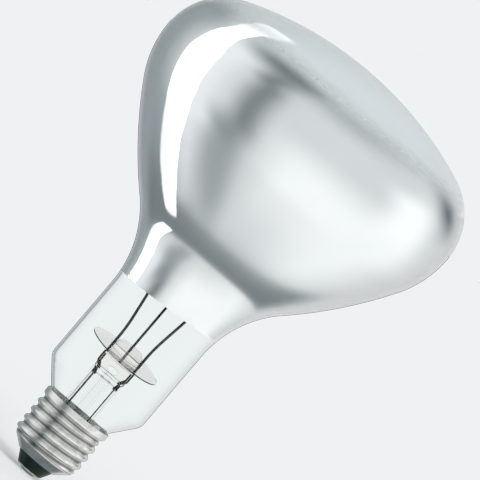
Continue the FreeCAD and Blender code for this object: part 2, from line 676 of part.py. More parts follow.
def main():
    """Write each piece to a file of its own."""
    os.makedirs("parts", exist_ok=True)
    leads = {"left": lead_wire(-1), "right": lead_wire(1)}
    seals = {"left": seal_wire(-1), "right": seal_wire(1)}
    support = support_wire()
    side_lead = wire(side_lead_route(), SIDE_LEAD_WIRE, SIDE_LEAD_BEND)
    channel = wire(side_lead_route(), SIDE_LEAD_WIRE + 2 * CHANNEL_CLEARANCE, SIDE_LEAD_BEND)
    bulb = filled_bulb()
    lead_holes = [wire(lead_route(), LEAD_WIRE + 2 * DISC_CLEARANCE, LEAD_BEND),
                  wire(mirrored(lead_route()), LEAD_WIRE + 2 * DISC_CLEARANCE, LEAD_BEND)]
    sealed = [leads["left"], leads["right"], seals["left"], seals["right"], support]
    pieces = {
        "glass_envelope": glass_envelope(),
        "mirror_coating": mirror_coating(),
        "stem_glass": stem_glass(sealed),
        "exhaust_tube": exhaust_tube(),
        "heat_shield_disc": heat_shield_disc(lead_holes),
        "lead_wire_left": leads["left"],
        "lead_wire_right": leads["right"],
        "support_wire": support,
        "filament_coil": filament_coil(),
        "seal_wire_left": seals["left"],
        "seal_wire_right": seals["right"],
        "outer_lead_centre": outer_lead_centre(),
        "outer_lead_side": side_lead,
        "cap_shell": cap_shell(),
        "cap_insulator": cap_insulator(),
        "cap_cement": cap_cement([bulb, channel]),
        "contact_plate": contact_plate(),
        "contact_solder": contact_solder(),
        "side_solder": side_solder([bulb, side_lead]),
    }
    for name, shape in pieces.items():
        box = shape.optimalBoundingBox()
        print(name, shape.isValid(), len(shape.Solids), round(shape.Volume, 2),
              round(box.ZMin, 2), round(box.ZMax, 2), round(box.XMin, 2), round(box.XMax, 2))
        shape.exportStep(f"parts/{name}.step")


main()
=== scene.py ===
"""Dresses the infrared reflector heat lamp bulb and lights it as in a plain studio.

Metres. The lamp stands on its end contact, +Z along its axis, and is seen from the -Y side.
Sizes in the classes are millimetres, as on a drawing, and MM turns them into metres.
"""

import logging
import math
from dataclasses import dataclass, field

import bmesh
import bpy
from mathutils import Matrix, Vector


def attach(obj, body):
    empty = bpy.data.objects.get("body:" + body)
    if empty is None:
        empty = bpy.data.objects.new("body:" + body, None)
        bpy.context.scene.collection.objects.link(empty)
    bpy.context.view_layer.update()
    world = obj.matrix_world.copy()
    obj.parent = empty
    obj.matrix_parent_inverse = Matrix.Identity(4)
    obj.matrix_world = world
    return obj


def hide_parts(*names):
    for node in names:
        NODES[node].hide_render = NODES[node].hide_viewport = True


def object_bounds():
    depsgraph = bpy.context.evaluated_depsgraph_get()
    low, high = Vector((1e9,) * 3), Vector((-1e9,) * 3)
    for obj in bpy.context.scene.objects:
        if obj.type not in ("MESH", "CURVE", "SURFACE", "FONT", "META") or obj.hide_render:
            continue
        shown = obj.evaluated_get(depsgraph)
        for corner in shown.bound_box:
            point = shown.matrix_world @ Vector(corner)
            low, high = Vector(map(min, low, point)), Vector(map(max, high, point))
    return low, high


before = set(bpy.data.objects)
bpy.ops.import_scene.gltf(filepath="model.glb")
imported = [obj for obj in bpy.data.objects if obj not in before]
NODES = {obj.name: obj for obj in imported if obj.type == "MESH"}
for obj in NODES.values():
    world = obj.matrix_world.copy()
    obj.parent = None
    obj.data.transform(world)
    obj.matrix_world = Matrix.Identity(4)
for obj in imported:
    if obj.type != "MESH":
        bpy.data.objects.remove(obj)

CAD_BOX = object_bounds()
MM = 0.001
HALF = 0.5                        # splits a yes from a no in a ray's count or flag
SWING = (0.3, 0.7)                # a noise pattern mostly keeps between these
UP = (0.0, 0.0, 1.0)
BEHIND = (0.0, 1.0, 0.0)
LOG = logging.getLogger("heat_lamp")

Colour = tuple[float, float, float]


class Tree:
    """Shorthand for building one node tree."""

    def __init__(self, tree: bpy.types.NodeTree) -> None:
        """Start from an empty tree.

        Args:
            tree: The node tree of a material or a world.
        """
        self.tree = tree
        tree.nodes.clear()

    def node(self, kind: str, **settings: object) -> bpy.types.Node:
        """Add a node and set its properties.

        Args:
            kind: The node's type name.
            **settings: Properties of the node.

        Returns:
            The new node.
        """
        made = self.tree.nodes.new(kind)
        for name, value in settings.items():
            setattr(made, name, value)
        return made

    def put(self, socket: bpy.types.NodeSocket, value: object) -> None:
        """Set a socket from a number, a colour or another node's output.

        Args:
            socket: The input to set.
            value: An output socket, a number, or a colour of three or four numbers.
        """
        if isinstance(value, bpy.types.NodeSocket):
            self.tree.links.new(value, socket)
        elif isinstance(value, tuple) and len(value) == 3 and socket.type == "RGBA":
            socket.default_value = (*value, 1.0)
        else:
            socket.default_value = value

    def math(self, operation: str, first: object, second: object = 0.0,
             clamp: bool = False, limit: float = 0.0) -> bpy.types.NodeSocket:
        """Add a Math node.

        Args:
            operation: The operation's name.
            first: First value or socket.
            second: Second value or socket.
            clamp: Whether the result is kept between 0 and 1.
            limit: Third value, where the operation has one.

        Returns:
            The result.
        """
        made = self.node("ShaderNodeMath", operation=operation, use_clamp=clamp)
        self.put(made.inputs[0], first)
        self.put(made.inputs[1], second)
        self.put(made.inputs[2], limit)
        return made.outputs[0]

    def ramp(self, value: object, low: float, high: float, start: float = 0.0,
             end: float = 1.0) -> bpy.types.NodeSocket:
        """Add a smooth step from start to end as value goes from low to high.

        Args:
            value: The driving value.
            low: Where the step begins.
            high: Where it ends.
            start: Result before the step.
            end: Result after it.

        Returns:
            The result.
        """
        made = self.node("ShaderNodeMapRange", interpolation_type="SMOOTHSTEP", clamp=True)
        for index, part in enumerate((value, low, high, start, end)):
            self.put(made.inputs[index], part)
        return made.outputs[0]

    def mix(self, share: object, first: object, second: object) -> bpy.types.NodeSocket:
        """Mix two colours.

        Args:
            share: Share of the second colour.
            first: First colour or socket.
            second: Second colour or socket.

        Returns:
            The mixed colour.
        """
        made = self.node("ShaderNodeMix", data_type="RGBA")
        self.put(made.inputs[0], share)
        self.put(made.inputs[6], first)
        self.put(made.inputs[7], second)
        return made.outputs[2]

    def vector(self, operation: str, first: object, second: object = (0.0, 0.0, 0.0),
               scale: object = 1.0) -> bpy.types.NodeSocket:
        """Add a Vector Math node.

        Args:
            operation: The operation's name.
            first: First vector or socket.
            second: Second vector or socket.
            scale: Factor of the SCALE operation.

        Returns:
            The result, a number where the operation gives one.
        """
        made = self.node("ShaderNodeVectorMath", operation=operation)
        self.put(made.inputs[0], first)
        self.put(made.inputs[1], second)
        self.put(made.inputs[3], scale)
        number = operation in ("DOT_PRODUCT", "LENGTH", "DISTANCE")
        return made.outputs["Value" if number else "Vector"]

    def noise(self, place: object, scale: float, detail: float = 2.0,
              roughness: float = 0.5) -> bpy.types.NodeSocket:
        """Add a noise pattern.

        Args:
            place: Coordinates that it reads.
            scale: Scale of the pattern.
            detail: Number of octaves.
            roughness: Share of each finer octave.

        Returns:
            The pattern's value, about 0.5 on average.
        """
        made = self.node("ShaderNodeTexNoise")
        self.put(made.inputs["Vector"], place)
        self.put(made.inputs["Scale"], scale)
        self.put(made.inputs["Detail"], detail)
        self.put(made.inputs["Roughness"], roughness)
        return made.outputs["Fac"]

    def stretched(self, place: object, scale: Colour) -> bpy.types.NodeSocket:
        """Stretch coordinates along their axes.

        Args:
            place: Coordinates.
            scale: Factor along each axis.

        Returns:
            The stretched coordinates.
        """
        made = self.node("ShaderNodeMapping")
        self.put(made.inputs["Vector"], place)
        self.put(made.inputs["Scale"], scale)
        return made.outputs[0]

    def bump(self, height: object, distance: float, strength: float = 1.0) -> bpy.types.NodeSocket:
        """Turn a height into a bumped normal.

        Args:
            height: The height pattern.
            distance: Height in metres where the pattern is 1.
            strength: How much of it is used.

        Returns:
            The normal.
        """
        made = self.node("ShaderNodeBump")
        self.put(made.inputs["Height"], height)
        self.put(made.inputs["Distance"], distance)
        self.put(made.inputs["Strength"], strength)
        return made.outputs[0]


class Finish:
    """A material under construction, with its Principled shader and Object coordinates."""

    def __init__(self, name: str) -> None:
        """Start a material.

        Args:
            name: The material's name.
        """
        self.material = bpy.data.materials.new(name)
        self.material.use_nodes = True
        self.nodes = Tree(self.material.node_tree)
        self.output = self.nodes.node("ShaderNodeOutputMaterial")
        self.shader = self.nodes.node("ShaderNodeBsdfPrincipled")
        self.place = self.nodes.node("ShaderNodeTexCoord").outputs["Object"]
        self.nodes.put(self.output.inputs["Surface"], self.shader.outputs[0])

    def set(self, **values: object) -> "Finish":
        """Set sockets of the Principled shader.

        Args:
            **values: Socket names with underscores for spaces, and their values.

        Returns:
            This finish.
        """
        for name, value in values.items():
            self.nodes.put(self.shader.inputs[name.replace("_", " ")], value)
        return self

    def height(self) -> bpy.types.NodeSocket:
        """Return the Z of Object coordinates."""
        parts = self.nodes.node("ShaderNodeSeparateXYZ")
        self.nodes.put(parts.inputs[0], self.place)
        return parts.outputs["Z"]

    def lets_lamps_through(self, tint: Colour) -> None:
        """Make shadow rays pass the glass instead of stopping on it.

        Args:
            tint: Colour of the light that passes.
        """
        rays = self.nodes.node("ShaderNodeLightPath")
        clear = self.nodes.node("ShaderNodeBsdfTransparent")
        self.nodes.put(clear.inputs["Color"], tint)
        mixed = self.nodes.node("ShaderNodeMixShader")
        self.nodes.put(mixed.inputs[0], rays.outputs["Is Shadow Ray"])
        self.nodes.put(mixed.inputs[1], self.shader.outputs[0])
        self.nodes.put(mixed.inputs[2], clear.outputs[0])
        self.nodes.put(self.output.inputs["Surface"], mixed.outputs[0])

    def dress(self, *names: str) -> None:
        """Give this finish to nodes of the frame.

        Args:
            *names: Names of the nodes.
        """
        for name in names:
            NODES[name].data.materials.clear()
            NODES[name].data.materials.append(self.material)


@dataclass(frozen=True)
class Outline:
    """Outline of the blown bulb, as the drawing gives it, in millimetres."""

    apex: float
    widest: float = 62.5
    face_radius: float = 128.7
    crown_depth: float = 31.5
    upper_radius: float = 38.0
    upper_turn: float = 31.0
    lower_radius: float = 160.0
    fillet_radius: float = 40.4
    neck: float = 20.0

    def arcs(self) -> list[tuple[Vector, float, float, float, int]]:
        """Work out the arcs from the face to the neck.

        Returns:
            Centre, radius, first and last angle in degrees, and the side that the glass
            surface lies on, 1 away from the centre and -1 towards it.
        """
        top = self.apex
        shoulder = (self.face_radius - self.crown_depth) ** 2 + self.widest ** 2
        shoulder = (shoulder - self.face_radius ** 2) / (2 * (self.widest - self.face_radius))
        crown = top - self.crown_depth
        face_middle = Vector((0, top - self.face_radius))
        shoulder_middle = Vector((self.widest - shoulder, crown))
        across = shoulder_middle - face_middle
        turn = math.degrees(math.atan2(across.y, across.x))
        upper_middle = Vector((self.widest - self.upper_radius, crown))
        lower_middle = upper_middle + spoke(self.upper_radius - self.lower_radius, -self.upper_turn)
        between = self.lower_radius + self.fillet_radius
        slope = math.degrees(math.acos((self.neck + self.fillet_radius - lower_middle.x) / between))
        fillet_middle = lower_middle + spoke(between, -slope)
        return [
            (face_middle, self.face_radius, 90, turn, 1),
            (shoulder_middle, shoulder, turn, 0, 1),
            (upper_middle, self.upper_radius, 0, -self.upper_turn, 1),
            (lower_middle, self.lower_radius, -self.upper_turn, -slope, 1),
            (fillet_middle, self.fillet_radius, 180 - slope, 180, -1),
        ]

    def points(self, depth: float, step: float) -> list[Vector]:
        """Points along the outline.

        Args:
            depth: Distance below the outer surface.
            step: Longest distance between two points.

        Returns:
            Points as radius and height.
        """
        found: list[Vector] = []
        for middle, radius, start, end, side in self.arcs():
            true_radius = radius - side * depth
            length = true_radius * math.radians(abs(end - start))
            count = max(2, math.ceil(length / step))
            for index in range(count + 1):
                point = middle + spoke(true_radius, start + (end - start) * index / count)
                if not found or (point - found[-1]).length > step / 100:
                    found.append(point)
        return found


def spoke(radius: float, degrees: float) -> Vector:
    """Return the vector of a length and a direction in degrees."""
    angle = math.radians(degrees)
    return Vector((radius * math.cos(angle), radius * math.sin(angle)))


def finished(name: str, shape: bmesh.types.BMesh, material: bpy.types.Material,
             smooth: float = 40.0) -> bpy.types.Object:
    """Turn a bmesh in metres into a piece of the lamp.

    Args:
        name: Name of the piece.
        shape: The mesh, which is freed.
        material: Its finish.
        smooth: Sharpest angle in degrees that is shaded round.

    Returns:
        The piece.
    """
    mesh = bpy.data.meshes.new(name)
    for face in shape.faces:
        face.smooth = True
    for edge in shape.edges:
        edge.smooth = edge.calc_face_angle(0.0) < math.radians(smooth)
    shape.to_mesh(mesh)
    shape.free()
    mesh.materials.append(material)
    piece = bpy.data.objects.new(name, mesh)
    bpy.context.scene.collection.objects.link(piece)
    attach(piece, "root")
    LOG.info("%s: %d faces", name, len(mesh.polygons))
    return piece


def spun(points: list[Vector], closed: bool, steps: int) -> bmesh.types.BMesh:
    """Spin a profile about the axis.

    Args:
        points: Radius and height of each point, in millimetres.
        closed: Whether the last point joins the first.
        steps: Number of steps round the axis.

    Returns:
        The mesh, in metres, with its faces outwards.
    """
    shape = bmesh.new()
    verts = [shape.verts.new((point.x * MM, 0.0, point.y * MM)) for point in points]
    for first, second in zip(verts, verts[1:]):
        shape.edges.new((first, second))
    if closed:
        shape.edges.new((verts[-1], verts[0]))
    bmesh.ops.spin(shape, geom=[*shape.verts, *shape.edges], cent=(0, 0, 0), axis=(0, 0, 1),
                   angle=2 * math.pi, steps=steps, use_merge=True)
    bmesh.ops.remove_doubles(shape, verts=shape.verts, dist=1e-7)
    bmesh.ops.recalc_face_normals(shape, faces=shape.faces)
    return shape


@dataclass(frozen=True)
class BulbGlass:
    """Blown glass: clear, and frosted on the inside of its face.

    The frosted part keeps the smooth shine of its outer side as a coat. The clear neck bends
    light less than the bowl, so that it shows no dark rims.
    """

    clear_tint: Colour = (0.985, 0.998, 0.994)
    frost_tint: Colour = (0.86, 0.93, 0.945)
    frost_edge: float = 12.5      # millimetres below the middle of the face
    frost_blur: float = 5.0
    frost_haze: float = 0.62      # share of the light that the frost scatters
    index: float = 1.5
    neck_index: float = 1.12
    neck_blur: float = 0.3
    neck_blear: float = 0.015     # roughness of the neck, which keeps the strip light off it
    grain: float = 260.0          # scale of the frost's unevenness
    coarse: tuple[float, float] = (0.5, 0.62)     # roughness of the frost
    least: float = 0.0001         # frost from which the coat begins
    shade: Colour = (0.93, 0.96, 0.96)            # light that passes to what lies behind

    def build(self, mirror: "Mirror") -> Finish:
        """Make the material.

        Args:
            mirror: The mirror behind the glass, whose edge parts bowl and neck.

        Returns:
            The finish.
        """
        finish = Finish("bulb_glass")
        nodes = finish.nodes
        edge = (mirror.outline.apex - self.frost_edge) * MM
        blur = self.frost_blur * MM
        frost = nodes.ramp(finish.height(), edge - blur, edge + blur)
        cloud = nodes.noise(finish.place, self.grain, 3.0)
        haze = nodes.math("MULTIPLY", frost, self.frost_haze)
        blur = self.neck_blur * MM
        above = mirror.above_edge(finish)
        rough = nodes.math("MULTIPLY", frost, nodes.ramp(cloud, *SWING, *self.coarse))
        finish.set(
            Base_Color=nodes.mix(frost, self.clear_tint, self.frost_tint),
            Roughness=nodes.math("ADD", rough, nodes.ramp(above, -blur, blur, self.neck_blear, 0.0)),
            Transmission_Weight=nodes.math("SUBTRACT", 1.0, haze),
            IOR=nodes.ramp(above, -blur, blur, self.neck_index, self.index),
            Coat_Weight=nodes.math("GREATER_THAN", frost, self.least),
            Coat_Roughness=0.0,
        )
        finish.lets_lamps_through(self.shade)
        return finish


@dataclass
class Bulb:
    """The blown glass in one wall, from the middle of its face to the open end of its neck."""

    outline: Outline
    wall: float = 1.0
    cap_rim: float = 27.5         # height of the cap's rim, where the taper is as wide as seat
    seat: float = 12.25
    shoulder: float = 5.0         # radius between the neck and its taper
    taper: float = 39.0           # degrees from the axis
    stub: float = 10.6            # radius of the neck's end, inside the cap
    stub_round: float = 2.0
    end: float = 20.5
    step: float = 1.2
    steps: int = 128
    arc_steps: int = 8

    def build(self, finish: Finish) -> bpy.types.Object:
        """Build the glass.

        Args:
            finish: Its material.

        Returns:
            The piece.
        """
        outer = self.outline.points(0.0, self.step) + self.neck_end(0.0)
        inner = self.outline.points(self.wall, self.step) + self.neck_end(self.wall)
        shape = spun(outer + inner[::-1], False, self.steps)
        piece = finished("blown_bulb", shape, finish.material)
        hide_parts("glass_envelope")
        return piece

    def neck_end(self, depth: float) -> list[Vector]:
        """Outline of the neck's lower end.

        Args:
            depth: Distance below the outer surface.

        Returns:
            Points as radius and height, from the neck's shoulder down.
        """
        turn = math.radians(self.taper)
        middle = self.outline.neck - self.shoulder
        lip = Vector((middle, 0.0)) + spoke(self.shoulder, -self.taper)
        rise = self.cap_rim + (lip.x - self.seat) / math.tan(turn) - lip.y
        stub = self.stub + self.stub_round
        foot = stub - self.stub_round * math.cos(turn)
        drop = (lip.x - foot) / math.tan(turn)
        shoulder = Vector((middle, rise))
        hollow = Vector((stub, rise + lip.y - drop - self.stub_round * math.sin(turn)))
        turns = [self.taper * index / self.arc_steps for index in range(self.arc_steps + 1)]
        points = [shoulder + spoke(self.shoulder - depth, -turned) for turned in turns]
        points += [hollow + spoke(self.stub_round + depth, 180 - self.taper + turned)
                   for turned in turns]
        return points + [Vector((self.stub - depth, self.end))]


@dataclass(frozen=True)
class MirrorLayer:
    """Vacuum-coated aluminium on the glass: satin, thinning out towards the face."""

    colour: Colour = (0.93, 0.94, 0.945)
    cloudy: Colour = (0.90, 0.92, 0.93)
    roughness: float = 0.17
    uneven: float = 0.02          # how far the roughness strays from that
    grain: float = 30.0
    fade: float = 5.0             # millimetres over which it thins out at its top

    def build(self, mirror: "Mirror") -> Finish:
        """Make the material.

        Args:
            mirror: The layer that it is for.

        Returns:
            The finish.
        """
        finish = Finish("mirror_layer")
        nodes = finish.nodes
        cloud = nodes.noise(finish.place, self.grain, 3.0)
        top = (mirror.outline.apex - mirror.top_depth) * MM
        finish.set(
            Base_Color=nodes.mix(nodes.ramp(cloud, *SWING), self.colour, self.cloudy),
            Metallic=1.0,
            Roughness=nodes.ramp(cloud, *SWING, self.roughness - self.uneven,
                                 self.roughness + self.uneven),
            Alpha=nodes.ramp(finish.height(), top - self.fade * MM, top, 1.0, 0.0),
        )
        return finish


@dataclass
class Mirror:
    """The aluminium layer inside the bowl, just clear of the glass."""

    outline: Outline
    wall: float = 1.0
    gap: float = 0.04
    thickness: float = 0.11
    top_depth: float = 12.0
    edge_depth: float = 105.4
    edge_tilt: float = 3.3
    step: float = 1.2
    steps: int = 256

    def build(self, finish: Finish) -> bpy.types.Object:
        """Build the layer.

        Args:
            finish: Its material.

        Returns:
            The piece.
        """
        outer = self.profile(self.wall + self.gap)
        inner = self.profile(self.wall + self.gap + self.thickness)
        shape = spun(outer + inner[::-1], True, self.steps)
        apex = self.outline.apex
        tilt = math.radians(self.edge_tilt)
        edge = Vector((0, 0, (apex - self.edge_depth) * MM))
        cut = bmesh.ops.bisect_plane(
            shape, geom=[*shape.verts, *shape.edges, *shape.faces], dist=1e-8, plane_co=edge,
            plane_no=(math.sin(tilt), 0, -math.cos(tilt)), clear_outer=True)
        rims = [part for part in cut["geom_cut"] if isinstance(part, bmesh.types.BMEdge)]
        bmesh.ops.bridge_loops(shape, edges=rims)
        bmesh.ops.recalc_face_normals(shape, faces=shape.faces)
        piece = finished("mirror_layer", shape, finish.material)
        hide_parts("mirror_coating")
        return piece

    def above_edge(self, finish: Finish) -> bpy.types.NodeSocket:
        """Height above the mirror's slanted lower edge, for a material.

        Args:
            finish: The material that needs it.

        Returns:
            The height in metres, measured square to the edge.
        """
        tilt = math.radians(self.edge_tilt)
        foot = (self.outline.apex - self.edge_depth) * MM * math.cos(tilt)
        up = (-math.sin(tilt), 0.0, math.cos(tilt))
        nodes = finish.nodes
        return nodes.math("SUBTRACT", nodes.vector("DOT_PRODUCT", finish.place, up), foot)

    def profile(self, depth: float) -> list[Vector]:
        """Outline of one side of the layer.

        Args:
            depth: Distance below the glass's outer surface.

        Returns:
            Points as radius and height, from its top down past its edge.
        """
        top = self.outline.apex - self.top_depth
        below = [point for point in self.outline.points(depth, self.step) if point.y < top]
        above = [point for point in self.outline.points(depth, self.step) if point.y >= top][-1]
        share = (top - below[0].y) / (above.y - below[0].y)
        return [below[0].lerp(above, share)] + below


@dataclass(frozen=True)
class Metal:
    """A plain metal with a little unevenness."""

    name: str
    colour: Colour
    dark: Colour
    roughness: float
    scale: float = 400.0
    relief: float = 0.00001
    tarnish: tuple[float, float] = (0.35, 0.7)    # noise from clean to dark
    worn: tuple[float, float] = (0.2, 0.8)        # noise from smooth to rough
    smoother: float = 0.05        # how far the roughness goes below and above its middle
    rougher: float = 0.08

    def build(self) -> Finish:
        """Make the material and return the finish."""
        finish = Finish(self.name)
        nodes = finish.nodes
        cloud = nodes.noise(finish.place, self.scale, 4.0, 0.6)
        finish.set(
            Base_Color=nodes.mix(nodes.ramp(cloud, *self.tarnish), self.colour, self.dark),
            Metallic=1.0,
            Roughness=nodes.ramp(cloud, *self.worn, self.roughness - self.smoother,
                                 self.roughness + self.rougher),
            Normal=nodes.bump(cloud, self.relief),
        )
        return finish


@dataclass(frozen=True)
class ClearGlass:
    """Plain worked glass of the exhaust tube, or of the heat shield."""

    name: str
    tint: Colour
    roughness: float
    index: float
    uneven: float = 0.03          # how far the roughness rises over that
    grain: float = 220.0
    relief: float = 0.00006
    shade: Colour = (0.9, 0.92, 0.91)

    def build(self) -> Finish:
        """Make the material and return the finish."""
        finish = Finish(self.name)
        nodes = finish.nodes
        wave = nodes.noise(finish.place, self.grain)
        finish.set(
            Base_Color=self.tint,
            Roughness=nodes.ramp(wave, *SWING, self.roughness, self.roughness + self.uneven),
            Transmission_Weight=1.0,
            IOR=self.index,
            Normal=nodes.bump(wave, self.relief),
        )
        finish.lets_lamps_through(self.shade)
        return finish


@dataclass(frozen=True)
class StemGlass:
    """Stem glass: a clear tube, a warmer press and head with the seals' bloom, painted refraction
    lines round the head.
    """

    tube_tint: Colour = (0.985, 0.992, 0.988)
    head_tint: Colour = (0.96, 0.94, 0.91)
    # painted dark lines that stand in for the refraction at the edges of the head's band
    painted_line_tint: Colour = (0.55, 0.51, 0.47)
    press_bottom: float = 43.5    # millimetres above the end contact
    press_blur: float = 1.2
    painted_line_heights: tuple[float, ...] = (49.7, 51.7)
    painted_line_width: float = 0.28
    tube_index: float = 1.06
    head_index: float = 1.25
    grain: float = 300.0
    wobble: float = 2.0           # millimetres that the press's lower edge strays
    relief: float = 0.0001
    shade: Colour = (0.9, 0.92, 0.91)

    def build(self) -> Finish:
        """Make the material and return the finish."""
        finish = Finish("stem_glass")
        nodes = finish.nodes
        wave = nodes.noise(finish.place, self.grain, 3.0)
        stray = nodes.math("MULTIPLY", nodes.math("SUBTRACT", wave, 0.5), self.wobble * MM)
        height = nodes.math("ADD", finish.height(), stray)
        low = (self.press_bottom - self.press_blur) * MM
        high = (self.press_bottom + self.press_blur) * MM
        head = nodes.ramp(height, low, high)
        tint = nodes.mix(head, self.tube_tint, self.head_tint)
        # Painted shade: thin dark lines at these heights stand in for the refraction at the band's
        # edges.
        for line_height in self.painted_line_heights:
            away = nodes.math("ABSOLUTE", nodes.math("SUBTRACT", finish.height(), line_height * MM))
            painted_line = nodes.ramp(away, 0.0, self.painted_line_width * MM, 1.0, 0.0)
            tint = nodes.mix(painted_line, tint, self.painted_line_tint)
        finish.set(
            Base_Color=tint,
            Roughness=0.0,
            Transmission_Weight=1.0,
            IOR=nodes.ramp(height, low, high, self.tube_index, self.head_index),
            Normal=nodes.bump(wave, self.relief),
        )
        finish.lets_lamps_through(self.shade)
        return finish


@dataclass(frozen=True)
class CapMetal:
    """Rolled sheet of the cap, with fine drawing lines round it, patches of grime, and painted shade
    that darkens its grooves.
    """

    colour: Colour = (0.80, 0.80, 0.78)
    grime: Colour = (0.28, 0.30, 0.28)
    # colour of the painted shade in the grooves
    painted_groove_shade: Colour = (0.10, 0.11, 0.10)
    shade_radius: tuple[float, float] = (12.06, 12.26)   # millimetres, from full painted shade to none
    shade_heights: tuple[float, float] = (8.5, 9.5)          # heights between which the painted shade sets in
    shade_depth: float = 0.85    # share of the painted shade's colour at the groove's deepest
    grain: float = 240.0
    soiled: tuple[float, float] = (0.45, 0.75)            # noise from clean to grimy
    soil: float = 0.5             # largest share of the grime
    dulled: tuple[float, float] = (0.3, 0.75)             # noise from smooth to rough
    roughness: float = 0.13
    duller: float = 0.12          # how far the roughness rises under grime
    lines: Colour = (60.0, 60.0, 9000.0)                  # scale of the drawing lines
    relief: float = 0.000004

    def build(self) -> Finish:
        """Make the material and return the finish."""
        finish = Finish("cap_metal")
        nodes = finish.nodes
        lines = nodes.noise(nodes.stretched(finish.place, self.lines), 1.0)
        cloud = nodes.noise(finish.place, self.grain, 4.0, 0.6)
        # Painted shade: the colour darkens where the cap's radius is small, in the grooves of its
        # thread.
        flat = nodes.vector("MULTIPLY", finish.place, (1.0, 1.0, 0.0))
        fully_shaded, unshaded = (radius * MM for radius in self.shade_radius)
        painted_groove_shade = nodes.ramp(nodes.vector("LENGTH", flat), fully_shaded, unshaded, self.shade_depth, 0.0)
        low, high = (height * MM for height in self.shade_heights)
        painted_groove_shade = nodes.math("MULTIPLY", painted_groove_shade, nodes.ramp(finish.height(), low, high))
        soil = nodes.ramp(cloud, *self.soiled, 0.0, self.soil)
        tint = nodes.mix(soil, self.colour, self.grime)
        finish.set(
            Base_Color=nodes.mix(painted_groove_shade, tint, self.painted_groove_shade),
            Metallic=1.0,
            Roughness=nodes.ramp(cloud, *self.dulled, self.roughness,
                                 self.roughness + self.duller),
            Normal=nodes.bump(lines, self.relief),
        )
        return finish


@dataclass(frozen=True)
class Matt:
    """A dull material with grain, such as cement."""

    name: str
    colour: Colour
    spot: Colour
    roughness: float
    scale: float
    relief: float
    shine: float = 0.5
    spots: tuple[float, float] = (0.4, 0.65)      # noise from plain to spotted

    def build(self) -> Finish:
        """Make the material and return the finish."""
        finish = Finish(self.name)
        nodes = finish.nodes
        grain = nodes.noise(finish.place, self.scale, 5.0, 0.65)
        finish.set(
            Base_Color=nodes.mix(nodes.ramp(grain, *self.spots), self.colour, self.spot),
            Roughness=self.roughness,
            Specular_IOR_Level=self.shine,
            Normal=nodes.bump(grain, self.relief),
        )
        return finish


@dataclass(frozen=True)
class SoftLight:
    """One soft-edged light or dark card of the studio, by its direction from the lamp.

    Degrees. Azimuth 0 is the camera's side and 90 the right; elevation is above the horizon.
    """

    azimuth: float
    half_width: float
    elevation: float
    half_height: float
    side_blur: float
    end_blur: float
    level: float
    tint: Colour = (1.0, 1.0, 1.0)

    def mask(self, nodes: Tree, azimuth: object, elevation: object) -> bpy.types.NodeSocket:
        """Build the light's soft mask in the world.

        Args:
            nodes: The world's tree.
            azimuth: Azimuth of the ray in degrees.
            elevation: Elevation of the ray in degrees.

        Returns:
            The mask, 0 to 1.
        """
        turn = nodes.math("SUBTRACT", azimuth, self.azimuth)
        turn = nodes.math("ABSOLUTE", nodes.math("WRAP", turn, 180.0, limit=-180.0))
        rise = nodes.math("ABSOLUTE", nodes.math("SUBTRACT", elevation, self.elevation))
        across = nodes.ramp(turn, self.half_width - self.side_blur,
                            self.half_width + self.side_blur, 1.0, 0.0)
        along = nodes.ramp(rise, self.half_height - self.end_blur,
                           self.half_height + self.end_blur, 1.0, 0.0)
        return nodes.math("MULTIPLY", across, along)


@dataclass(frozen=True)
class StripLight:
    """A long bent strip light with crisp edges, which only bare glass reflects.

    Stops are directions from the lamp along its middle, each with half its width there.
    """

    stops: tuple[tuple[Colour, float], ...] = (
        ((-0.17, 0.81, 0.56), 0.035),
        ((-0.25, 0.73, 0.64), 0.065),
        ((-0.38, 0.59, 0.71), 0.085),
        ((-0.62, 0.39, 0.68), 0.10),
        ((-0.74, 0.30, 0.60), 0.12),
        ((-0.90, 0.19, 0.39), 0.185),
        ((-0.98, 0.12, 0.16), 0.24),
        ((-0.99, 0.13, -0.06), 0.26),
        ((-0.925, 0.175, -0.34), 0.245),
        ((-0.82, 0.25, -0.515), 0.215),
        ((-0.69, 0.35, -0.635), 0.18),
        ((-0.62, 0.34, -0.71), 0.14),
        ((-0.53, 0.32, -0.785), 0.10),
        ((-0.45, 0.31, -0.84), 0.075),
    )
    end: Colour = (-0.833, -0.477, 0.277)
    fade: tuple[float, float] = (0.24, 0.62)     # towards its top, by how far behind it is
    faded: float = 0.12
    crisp: float = 0.012
    level: float = 16.0

    def mask(self, nodes: Tree, ray: object) -> bpy.types.NodeSocket:
        """Build the strip's mask in the world.

        Args:
            nodes: The world's tree.
            ray: Direction of the ray.

        Returns:
            The mask, 0 to 1.
        """
        found: object = 0.0
        for (start, narrow), (stop, wide) in zip(self.stops, self.stops[1:]):
            along = Vector(stop) - Vector(start)
            run = tuple(along / along.length_squared)
            share = nodes.vector("DOT_PRODUCT", nodes.vector("SUBTRACT", ray, start), run)
            share = nodes.math("ADD", share, 0.0, True)
            nearest = nodes.vector("SCALE", tuple(along), scale=share)
            nearest = nodes.vector("NORMALIZE", nodes.vector("ADD", nearest, start))
            away = nodes.vector("DISTANCE", ray, nearest)
            width = nodes.math("ADD", nodes.math("MULTIPLY", share, wide - narrow), narrow)
            inside = nodes.ramp(nodes.math("SUBTRACT", away, width), -self.crisp, self.crisp,
                                1.0, 0.0)
            found = nodes.math("MAXIMUM", found, inside)
        side = nodes.vector("DOT_PRODUCT", ray, tuple(Vector(self.end).normalized()))
        side = nodes.math("MAXIMUM", side, nodes.vector("DOT_PRODUCT", ray, UP))
        found = nodes.math("MULTIPLY", found, nodes.ramp(side, -self.crisp, self.crisp))
        behind = nodes.vector("DOT_PRODUCT", ray, BEHIND)
        return nodes.math("MULTIPLY", found, nodes.ramp(behind, *self.fade, 1.0, self.faded))


